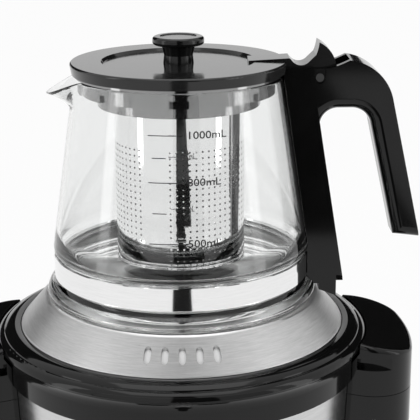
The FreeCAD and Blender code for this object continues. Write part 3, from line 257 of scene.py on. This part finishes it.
def makeRoundBrushedSteel(name, low, high, rough, grooves, bump, paintedLightLevel=0.0, paintedLightRadius=0.0):
    # brushing that runs round the upright axis: noise on radius and height, drawn out along
    # the turn; inside the given radius the colour is lifted to the given level, painted light for
    # the light that comes through the glass pot onto the seat
    material, tree, shader = newMaterial(name)
    link = tree.links.new
    place = addNode(tree, "ShaderNodeTexCoord")
    split = addNode(tree, "ShaderNodeSeparateXYZ")
    flat = addNode(tree, "ShaderNodeCombineXYZ")
    radius = addNode(tree, "ShaderNodeVectorMath", operation="LENGTH")
    turn = addNode(tree, "ShaderNodeMath", operation="ARCTAN2")
    slow = addNode(tree, "ShaderNodeMath", operation="MULTIPLY")
    slow.inputs[1].default_value = brushing["alongTurn"]
    gather = addNode(tree, "ShaderNodeCombineXYZ")
    noise = addNode(tree, "ShaderNodeTexNoise")
    setInputs(noise, Scale=grooves, Detail=brushing["detail"], Roughness=brushing["noiseRough"])
    link(place.outputs["Object"], split.inputs["Vector"])
    link(split.outputs["X"], flat.inputs["X"])
    link(split.outputs["Y"], flat.inputs["Y"])
    link(flat.outputs["Vector"], radius.inputs[0])
    link(split.outputs["Y"], turn.inputs[0])
    link(split.outputs["X"], turn.inputs[1])
    link(turn.outputs["Value"], slow.inputs[0])
    link(radius.outputs["Value"], gather.inputs["X"])
    link(slow.outputs["Value"], gather.inputs["Y"])
    link(split.outputs["Z"], gather.inputs["Z"])
    link(gather.outputs["Vector"], noise.inputs["Vector"])
    ramp = addRamp(tree, grain["noiseLow"], grain["noiseHigh"], grey(low), grey(high))
    spread = addNode(tree, "ShaderNodeMapRange")
    roughLow, roughHigh = brushing["roughRange"]
    setInputs(spread, To_Min=rough * roughLow, To_Max=rough * roughHigh)
    raised = addNode(tree, "ShaderNodeBump")
    setInputs(raised, Strength=bump, Distance=grain["lift"])
    tangent = addNode(tree, "ShaderNodeTangent", direction_type="RADIAL", axis="Z")
    link(noise.outputs["Fac"], ramp.inputs["Fac"])
    link(ramp.outputs["Color"], shader.inputs["Base Color"])
    if paintedLightLevel:
        # painted light: inside the given radius the colour is lifted to the given level
        inner = addNode(tree, "ShaderNodeMapRange")
        setInputs(inner, From_Min=paintedLightRadius * mm, From_Max=(paintedLightRadius + brushing["paintedLightFade"]) * mm,
                  To_Min=1.0, To_Max=0.0)
        # inputs 6 and 7 and output 2 are the mix node's colours
        paintedLightMix = addNode(tree, "ShaderNodeMix", data_type="RGBA")
        paintedLightMix.inputs[7].default_value = (*grey(paintedLightLevel), 1)
        link(radius.outputs["Value"], inner.inputs["Value"])
        link(inner.outputs["Result"], paintedLightMix.inputs["Factor"])
        link(ramp.outputs["Color"], paintedLightMix.inputs[6])
        link(paintedLightMix.outputs[2], shader.inputs["Base Color"])
    link(noise.outputs["Fac"], spread.inputs["Value"])
    link(spread.outputs["Result"], shader.inputs["Roughness"])
    link(noise.outputs["Fac"], raised.inputs["Height"])
    link(raised.outputs["Normal"], shader.inputs["Normal"])
    link(tangent.outputs["Tangent"], shader.inputs["Tangent"])
    setInputs(shader, Metallic=1.0, Anisotropic=brushing["anisotropic"])
    return material


def makeGlass():
    material, tree, shader = newMaterial("potGlass")
    setInputs(shader, Base_Color=(0.92, 0.925, 0.923, 1), Transmission_Weight=1.0, IOR=1.47)
    addGrain(tree, shader, scale=14, roughRange=(0.0, 0.006), bump=0.04, lift=0.0004, detail=1)
    return material


glass = makeGlass()
blackGloss = makePlastic("blackGloss", grey(0.003), grey(0.0045), 0.07, bump=0.004, gloss=0.3)
blackSatin = makePlastic("blackSatin", grey(0.004), grey(0.006), 0.14, bump=0.012, gloss=0.35)
lidBlack = makePlastic("lidBlack", grey(0.009), grey(0.011), 0.12, bump=0.01, gloss=0.45)
whiteBaffle = makePlastic("whiteBaffle", grey(0.86), grey(0.9), 0.4, bump=0.02)
darkMoulding = makePlastic("darkMoulding", grey(0.03), grey(0.04), 0.38, bump=0.05)
buttonGrey = makePlastic("buttonGrey", grey(0.4), grey(0.45), 0.25, bump=0.02)
lensAmber = makePlastic("lensAmber", (0.75, 0.42, 0.1), (0.85, 0.5, 0.14), 0.12, bump=0.0)
boardGreen = makePlastic("boardGreen", (0.02, 0.09, 0.04), (0.03, 0.12, 0.05), 0.35, bump=0.05)
rubberBlack = makePlastic("rubberBlack", grey(0.012), grey(0.02), 0.6, bump=0.15)
rubberPale = makePlastic("rubberPale", (0.55, 0.55, 0.53), (0.62, 0.62, 0.6), 0.5, bump=0.08)
markInk = makePlastic("markInk", grey(0.01), grey(0.014), 0.4, bump=0.0)
panelPrint = makePlastic("panelPrint", grey(0.7), grey(0.76), 0.4, bump=0.0)
# the last two numbers paint light onto the seat under the glass pot: colour 0.95 inside 68 mm
shelfSteel = makeRoundBrushedSteel("shelfSteel", 0.4, 0.54, 0.3, 1800, 0.25, 0.95, 68.0)
hoopSteel = makeRoundBrushedSteel("hoopSteel", 0.8, 0.86, 0.05, 1500, 0.02)
bodySteel = makeRoundBrushedSteel("bodySteel", 0.56, 0.66, 0.2, 1500, 0.1)
infuserSteel = makeSteel("infuserSteel", 0.88, 0.05, bump=0.004, scale=60)
# the collar's steel is set far darker than the basket's 0.88: painted shade under the lid
collarSteel = makeSteel("collarSteel", 0.28, 0.08, bump=0.006, scale=60)
brightSteel = makeSteel("brightSteel", 0.7, 0.2, bump=0.03)
tapChrome = makeSteel("tapChrome", 0.82, 0.06, bump=0.004, scale=60)

finishes = (
    (glass, "glass_pot"),
    (blackGloss, "top_collar tap_key selector_knob right_handle_top left_handle_top "
                 "right_handle_bottom left_handle_bottom pot_handle"),
    (blackSatin, "lid_knob base_housing hinge_bushes"),
    (lidBlack, "lid"),
    (whiteBaffle, "vent_baffle"),
    (darkMoulding, "hinge_pin control_panel cord_gland rotary_switch button_switches"),
    (buttonGrey, "start_button warm_button"),
    (lensAmber, "indicator_lenses"),
    (boardGreen, "control_board"),
    (rubberBlack, "rubber_feet"),
    (rubberPale, "terminal_block tank_gasket shelf_gasket lid_seal tap_washers"),
    (shelfSteel, "steam_shelf inner_tank heater_plate"),
    (hoopSteel, "pot_hoop"),
    (bodySteel, "outer_body"),
    (infuserSteel, "infuser_basket"),
    (collarSteel, "infuser_collar"),
    (brightSteel, "heating_element thermostat selector_shaft base_plate base_screws "
                  "board_screws right_handle_bolts left_handle_bolts hoop_screw knob_screw "
                  "tap_nut"),
    (tapChrome, "tap_body tap_plug"),
)
for material, names in finishes:
    for name in names.split():
        for slot in nodes[name].material_slots:
            slot.material = material
print("materials set")


# glass pot

pot = {
    "wall": 2.2, "rimRound": 1.1, "steps": 360,
    "foot": ((0, 1.5), (59.5, 1.5), (62, 0, -3), (66.4, 0), (68.2, 1.8, 1.8), (66.8, 5.2)),
    "waistRadius": 63.0, "waistFrom": 9.4, "waistTo": 20.6, "waistRound": 7.0,
    "coneRadius": 64.3, "coneFrom": 24.6, "coneIn": 12.5, "coneHigh": 84.1, "coneRound": 5.0,
    "floor": 5.0, "floorRadius": 58.0, "floorRound": 5.0, "innerWaistFrom": 10.0,
    "lipReach": 14.2, "lipDip": 8.4, "lipHalfAngle": 27.0, "lipDepth": 15.0,
    "reachCurve": 1.25, "dipCurve": 1.1,
}


def shapeLip(bm):
    # press the rim outwards and down round -X, as the pouring lip is drawn from the hot glass
    half = math.radians(pot["lipHalfAngle"])
    for vert in bm.verts:
        depth = rimLevel - vert.co.z / mm
        around = abs(math.atan2(vert.co.y, -vert.co.x))
        if depth > pot["lipDepth"] or around > half:
            continue
        side = math.cos(around / half * math.pi / 2) ** 2
        along = 1 - max(depth, 0) / pot["lipDepth"]
        outwards = Vector((vert.co.x, vert.co.y, 0)).normalized()
        vert.co += outwards * pot["lipReach"] * side * along ** pot["reachCurve"] * mm
        vert.co.z -= pot["lipDip"] * side * along ** pot["dipCurve"] * mm


def makePot():
    wall = pot["wall"]
    edge = pot["rimRound"]
    waist = pot["waistRadius"]
    waistTop = potFloor + pot["waistTo"]
    cone = pot["coneRadius"]
    coneFloor = potFloor + pot["coneFrom"]
    rim = cone - pot["coneIn"]
    inFloor = potFloor + pot["floor"]
    foot = [(x, potFloor + z, *arc) for x, z, *arc in pot["foot"]]
    outside = [(waist, potFloor + pot["waistFrom"], -pot["waistRound"]), (waist, waistTop),
               (cone, coneFloor, pot["coneRound"])]
    # close rows near the rim, where the lip bends
    shares = [0.1 * k for k in range(1, 7)] + [0.6 + 0.02 * k for k in range(1, 20)]
    up = [(cone - pot["coneIn"] * share, coneFloor + pot["coneHigh"] * share) for share in shares]
    top = [(rim, rimLevel - edge), (rim - edge, rimLevel, edge),
           (rim - edge * 2, rimLevel - edge, edge)]
    down = [(x - wall, z) for x, z in reversed(up)]
    inside = [(cone - wall, coneFloor), (waist - wall, waistTop, pot["coneRound"]),
              (waist - wall, potFloor + pot["innerWaistFrom"]),
              (pot["floorRadius"] - wall, inFloor, -pot["floorRound"]), (0, inFloor)]
    bm = lathe(foot + outside + up + top + down + inside, pot["steps"], 10)
    shapeLip(bm)
    finishMesh("glassPot", bm, glass, "teapot", 60, ("glass_pot",))


makePot()
print("pot made")


# perforated basket

basket = {
    "radius": 32.2, "wall": 0.5, "around": 64, "rows": 21, "rowStep": 3.02, "firstRow": 32.9,
    "holeRadius": 0.52, "holeSides": 8, "corner": 4.0, "cornerSteps": 6, "depth": 94.0,
    "rimDrop": 12.1, "blankFrom": -36.5, "blankTo": -8.7,
}


def makeCells(step, rowStep):
    # a cell of the flat sheet with a hole in it, and one without
    sides = basket["holeSides"]
    cell = bmesh.new()
    bmesh.ops.create_circle(cell, segments=sides, radius=basket["holeRadius"], cap_ends=False)
    rim = bmesh.ops.create_circle(cell, segments=sides, radius=1, cap_ends=False)["verts"]
    for vert in rim:
        # move the circle's points onto the cell's edge
        reach = max(abs(vert.co.x), abs(vert.co.y))
        vert.co.x = vert.co.x / reach * step / 2 if abs(vert.co.x) > flatWeld else 0
        vert.co.y = vert.co.y / reach * rowStep / 2 if abs(vert.co.y) > flatWeld else 0
    bmesh.ops.bridge_loops(cell, edges=cell.edges)
    holed = bpy.data.meshes.new("holedCell")
    cell.to_mesh(holed)
    cell.clear()
    addBar(cell, 0, 0, step, rowStep)
    bmesh.ops.subdivide_edges(cell, edges=cell.edges, cuts=1, use_grid_fill=True)
    plain = bpy.data.meshes.new("plainCell")
    cell.to_mesh(plain)
    cell.free()
    return holed, plain


def makeSheet(step, rowStep, firstRow):
    # the flat sheet, a column of cells for each step round the basket
    holed, plain = makeCells(step, rowStep)
    bm = bmesh.new()
    for column in range(basket["around"]):
        angle = (column + 0.5) * 360 / basket["around"] - 180
        cell = plain if basket["blankFrom"] < angle < basket["blankTo"] else holed
        for row in range(basket["rows"]):
            before = len(bm.verts)
            bm.from_mesh(cell)
            bm.verts.ensure_lookup_table()
            move = (math.radians(angle) * basket["radius"], firstRow + row * rowStep, 0)
            bmesh.ops.translate(bm, vec=move, verts=bm.verts[before:])
    bmesh.ops.remove_doubles(bm, verts=bm.verts, dist=flatWeld)
    bpy.data.meshes.remove(holed)
    bpy.data.meshes.remove(plain)
    return bm


def closeBottom(bm, lowest):
    # take the lowest ring inwards along the rounded corner, then fill it
    corner = basket["corner"]
    for k in range(1, basket["cornerSteps"] + 1):
        level = min(vert.co.z for vert in bm.verts)
        lean = math.radians(90 * k / basket["cornerSteps"])
        ringRadius = (basket["radius"] - corner + corner * math.cos(lean)) * mm
        height = (lowest - corner * math.sin(lean)) * mm
        for vert in drawOutLoop(bm, 2, level, tight):
            flat = Vector((vert.co.x, vert.co.y, 0)).normalized() * ringRadius
            vert.co = Vector((flat.x, flat.y, height))
    level = min(vert.co.z for vert in bm.verts)
    bmesh.ops.holes_fill(bm, edges=edgesAt(bm, 2, level, tight), sides=0)


def makeBasket():
    radius = basket["radius"]
    rowStep = basket["rowStep"]
    firstRow = shelfLevel + basket["firstRow"]
    lowest = rimLevel - basket["depth"] + basket["corner"]
    bm = makeSheet(math.tau * radius / basket["around"], rowStep, firstRow)
    # plain bands above and below the holes
    top = firstRow + (basket["rows"] - 0.5) * rowStep
    low = firstRow - rowStep / 2
    for level, goal in ((top, rimLevel - basket["rimDrop"]), (low, lowest)):
        moved = drawOutLoop(bm, 1, level, flatWeld)
        bmesh.ops.translate(bm, vec=(0, goal - level, 0), verts=moved)
    for vert in bm.verts:
        angle = vert.co.x / radius
        height = vert.co.y
        vert.co = Vector((radius * math.sin(angle), -radius * math.cos(angle), height)) * mm
    bmesh.ops.remove_doubles(bm, verts=bm.verts, dist=weld)
    closeBottom(bm, lowest)
    bmesh.ops.recalc_face_normals(bm, faces=bm.faces)
    bmesh.ops.solidify(bm, geom=bm.faces[:], thickness=basket["wall"] * mm)
    finishMesh("infuserBasket", bm, infuserSteel, "teapot", 30,
               ("infuser_basket",))


makeBasket()
print("basket made")


# printed volume marks

marks = {
    "lineHigh": 0.42, "lineSegments": 12, "lift": 0.04,
    "longFrom": -14.7, "longTo": 1.7, "shortFrom": -13.0, "shortTo": -6.4,
    "textFrom": 3.2, "textSize": 4.9, "textStretch": 1.18, "bold": 0.05,
    "long": {106.7: "1000mL", 85.3: "800mL", 57.2: "500mL"}, "short": (96.5, 71.2),
}


def glassRadius(height):
    up = height - potFloor - pot["coneFrom"]
    return pot["coneRadius"] - up * pot["coneIn"] / pot["coneHigh"]


def wrapOnGlass(bm):
    # bend a flat drawing, x along the turn and y up, round the front of the pot
    for vert in bm.verts:
        height = vert.co.y
        radius = glassRadius(height) + marks["lift"] + vert.co.z
        angle = vert.co.x / glassRadius(height)
        vert.co = Vector((radius * math.sin(angle), -radius * math.cos(angle), height)) * mm


def makeMarks():
    bm = bmesh.new()
    bars = [(marks["longFrom"], marks["longTo"], level) for level in marks["long"]]
    bars += [(marks["shortFrom"], marks["shortTo"], level) for level in marks["short"]]
    for start, end, level in bars:
        addBar(bm, (start + end) / 2, shelfLevel + level, end - start, marks["lineHigh"],
               segments=marks["lineSegments"])
    for level, words in marks["long"].items():
        addText(bm, words, marks["textSize"], marks["textFrom"], shelfLevel + level,
                stretch=marks["textStretch"], bold=marks["bold"])
    wrapOnGlass(bm)
    bmesh.ops.recalc_face_normals(bm, faces=bm.faces)
    finishMesh("volumeMarks", bm, markInk, "teapot", 60)


makeMarks()
print("marks made")


# printing on the control panel

printing = {
    "level": 31.0, "face": -94.0, "lift": 0.05, "dialFrom": 16.2, "dialTo": 18.4,
    "dialSteps": 10, "dialSweep": 270, "tickWide": 0.5, "shortTick": 0.6,
    "digitRadius": 21.6, "digitSize": 3.4, "noDigitAt": (4, 6),
    "buttonPlace": 32.0, "ringInner": 8.2, "ringOuter": 8.7,
}
# the signs under the buttons: drop, size and stroke, then angles and shares of the size
sign = {
    "drop": 11.6, "size": 2.1, "stroke": 0.4, "ringInner": 0.75, "ringFrom": 125, "ringTo": 415,
    "barRise": 0.7, "barLong": 1.1, "wispGap": 0.6, "wispRise": 0.35, "wispLong": 0.8,
    "wispLean": 0.35,
}


def addDial(bm):
    middle = (printing["dialFrom"] + printing["dialTo"]) / 2
    length = printing["dialTo"] - printing["dialFrom"]
    radius = printing["digitRadius"]
    for step in range(printing["dialSteps"] + 1):
        turn = math.radians(90 - printing["dialSweep"] * step / printing["dialSteps"])
        x, y = math.cos(turn), math.sin(turn)
        reach = length * printing["shortTick"] if step % 2 else length
        addBar(bm, middle * x, printing["level"] + middle * y, reach, printing["tickWide"], turn)
        if step % 2 == 0 and step not in printing["noDigitAt"]:
            addText(bm, str(step // 2), printing["digitSize"], radius * x,
                    printing["level"] + radius * y, "CENTER")


def addOnSign(bm, x, y):
    # a bar over an open ring
    size = sign["size"]
    addRing(bm, x, y, size * sign["ringInner"], size, sign["ringFrom"], sign["ringTo"], 32)
    addBar(bm, x, y + size * sign["barRise"], sign["stroke"], size * sign["barLong"])


def addWarmSign(bm, x, y):
    # three wisps of steam, each bent in the middle
    size = sign["size"]
    for wisp in (-1, 0, 1):
        for half in (1, -1):
            addBar(bm, x + wisp * size * sign["wispGap"], y + half * size * sign["wispRise"],
                   sign["stroke"], size * sign["wispLong"], half * sign["wispLean"])


def makePrinting():
    bm = bmesh.new()
    addDial(bm)
    for side, addSign in ((-1, addOnSign), (1, addWarmSign)):
        x = side * printing["buttonPlace"]
        addRing(bm, x, printing["level"], printing["ringInner"], printing["ringOuter"])
        addSign(bm, x, printing["level"] - sign["drop"])
    for vert in bm.verts:
        vert.co = Vector((vert.co.x, printing["face"] - printing["lift"], vert.co.y)) * mm
    bmesh.ops.remove_doubles(bm, verts=bm.verts, dist=tight)
    bmesh.ops.recalc_face_normals(bm, faces=bm.faces)
    finishMesh("panelPrint", bm, panelPrint, "base", 60)


makePrinting()
print("panel printed")


# floor, lights and camera, in metres

studio = {
    "floorReach": 6.0, "floorWhite": 0.9, "floorGlow": 0.94, "worldGlow": 0.55,
    "cardWide": 0.8, "cardLow": 0.2, "cardTop": 0.9, "cardBack": -0.72,
    "gapLeft": -0.08, "gapRight": 0.26, "leftGlow": 1.0, "rightGlow": 0.75,
    "stripOut": 0.88, "stripBack": -0.3, "stripLevel": 0.5, "stripAim": (0, 0, 0.3),
    "stripWide": 0.2, "stripHigh": 1.0, "stripGlow": 1.6,
    "overheadPlace": (0, -0.1, 1.3), "overheadAim": (0, 0, 0.2), "overheadWide": 0.9,
    "overheadHigh": 0.7, "overheadGlow": 1.2, "clothBlack": 0.02,
}
# lowest and highest corner of each dark cloth
cloths = {
    "backCloth": ((-2.2, -1.72, 0), (2.2, -1.7, 1.9)),
    "floorCloth": ((-0.12, -1.7, 0.001), (0.26, studio["cardBack"], 0.003)),
    "slitCloth": ((-0.08, studio["cardBack"], 0.001), (0.09, -0.5, 0.003)),
    "highCloth": ((-0.1, -0.73, studio["cardTop"]), (0.12, studio["cardBack"], 1.8)),
    "leftWing": ((-2.2, 1.4, 0.35), (-0.35, 1.42, 1.6)),
    "rightWing": ((0.35, 1.4, 0.35), (2.2, 1.42, 1.6)),
}
# the lens in millimetres, pitch and roll in degrees, yaw in radians
view = {
    "sensor": 36, "lens": 110.86, "pitch": 16.332, "yaw": 0.02393, "roll": 0.36,
    "place": (-0.000086, -0.62867, 0.41979),
}


def addSeenRays(tree):
    # 1 for rays that show in the picture: straight, mirrored or through glass
    rays = addNode(tree, "ShaderNodeLightPath")
    direct = addNode(tree, "ShaderNodeMath", operation="MAXIMUM")
    seen = addNode(tree, "ShaderNodeMath", operation="MAXIMUM")
    link = tree.links.new
    link(rays.outputs["Is Camera Ray"], direct.inputs[0])
    link(rays.outputs["Is Glossy Ray"], direct.inputs[1])
    link(direct.outputs["Value"], seen.inputs[0])
    link(rays.outputs["Is Transmission Ray"], seen.inputs[1])
    return seen.outputs["Value"]


def makeFloor():
    bm = bmesh.new()
    bmesh.ops.create_grid(bm, x_segments=1, y_segments=1, size=studio["floorReach"])
    floor = addObject("floor", bm)
    material, tree, shader = newMaterial("paleFloor")
    setInputs(shader, Base_Color=(*grey(studio["floorWhite"]), 1), Roughness=0.9)
    glow = addNode(tree, "ShaderNodeEmission")
    part = addNode(tree, "ShaderNodeMath", operation="MULTIPLY")
    part.inputs[1].default_value = studio["floorGlow"]
    mix = addNode(tree, "ShaderNodeMixShader")
    link = tree.links.new
    link(addSeenRays(tree), part.inputs[0])
    link(part.outputs["Value"], mix.inputs["Fac"])
    link(shader.outputs["BSDF"], mix.inputs[1])
    link(glow.outputs["Emission"], mix.inputs[2])
    link(mix.outputs["Shader"], tree.nodes["Material Output"].inputs["Surface"])
    floor.data.materials.append(material)


def makeWorld():
    world = bpy.data.worlds.new("studio")
    world.use_nodes = True
    tree = world.node_tree
    back = tree.nodes["Background"]
    setInputs(back, Color=(1, 1, 1, 1), Strength=studio["worldGlow"])
    shown = addNode(tree, "ShaderNodeBackground")
    setInputs(shown, Color=(1, 1, 1, 1))
    mix = addNode(tree, "ShaderNodeMixShader")
    link = tree.links.new
    link(addSeenRays(tree), mix.inputs["Fac"])
    link(back.outputs["Background"], mix.inputs[1])
    link(shown.outputs["Background"], mix.inputs[2])
    link(mix.outputs["Shader"], tree.nodes["World Output"].inputs["Surface"])
    scene.world = world


def addPanel(name, place, aim, wide, high, glow):
    light = bpy.data.lights.new(name, "AREA")
    light.shape = "RECTANGLE"
    light.size = wide
    light.size_y = high
    light.energy = glow * math.pi * wide * high
    holder = bpy.data.objects.new(name, light)
    scene.collection.objects.link(holder)
    holder.location = place
    holder.rotation_euler = (Vector(aim) - Vector(place)).to_track_quat("-Z", "Y").to_euler()


def makeLights():
    # two white cards with a gap for the camera, a strip on each side and a soft panel overhead
    high = studio["cardTop"] - studio["cardLow"]
    level = studio["cardLow"] + high / 2
    for side, name, gap in ((-1, "left", "gapLeft"), (1, "right", "gapRight")):
        x = studio[gap] + side * studio["cardWide"] / 2
        addPanel(name + "Card", (x, studio["cardBack"], level), (x, 0, level),
                 studio["cardWide"], high, studio[name + "Glow"])
        strip = (side * studio["stripOut"], studio["stripBack"], studio["stripLevel"])
        addPanel(name + "Strip", strip, studio["stripAim"], studio["stripWide"],
                 studio["stripHigh"], studio["stripGlow"])
    addPanel("overhead", studio["overheadPlace"], studio["overheadAim"],
             studio["overheadWide"], studio["overheadHigh"], studio["overheadGlow"])


def makeCloths():
    # dark cloths outside the picture, seen only in reflections and through bent glass
    for name, (low, high) in cloths.items():
        bm = bmesh.new()
        bmesh.ops.create_cube(bm, size=1)
        bmesh.ops.scale(bm, vec=[high[k] - low[k] for k in range(3)], verts=bm.verts)
        bmesh.ops.translate(bm, vec=[(high[k] + low[k]) / 2 for k in range(3)], verts=bm.verts)
        cloth = addObject(name, bm)
        material, tree, shader = newMaterial(name)
        setInputs(shader, Base_Color=(*grey(studio["clothBlack"]), 1), Roughness=1.0,
                  Specular_IOR_Level=0.0)
        cloth.data.materials.append(material)
        cloth.visible_camera = False
        cloth.visible_diffuse = False
        cloth.visible_shadow = False


def makeCamera():
    camera = bpy.data.cameras.new("camera")
    camera.sensor_width = view["sensor"]
    camera.lens = view["lens"]
    holder = bpy.data.objects.new("camera", camera)
    scene.collection.objects.link(holder)
    pitch = math.radians(view["pitch"])
    yaw = view["yaw"]
    roll = math.radians(view["roll"])
    forward = Vector((math.sin(yaw) * math.cos(pitch), math.cos(yaw) * math.cos(pitch),
                      -math.sin(pitch)))
    right = Vector((math.cos(yaw), -math.sin(yaw), 0))
    up = right.cross(forward)
    rightTurned = right * math.cos(roll) - up * math.sin(roll)
    upTurned = up * math.cos(roll) + right * math.sin(roll)
    turn = Matrix((rightTurned, upTurned, -forward)).transposed()
    holder.matrix_world = Matrix.Translation(view["place"]) @ turn.to_4x4()
    scene.camera = holder


makeFloor()
makeWorld()
makeLights()
makeCloths()
makeCamera()
print("studio set")
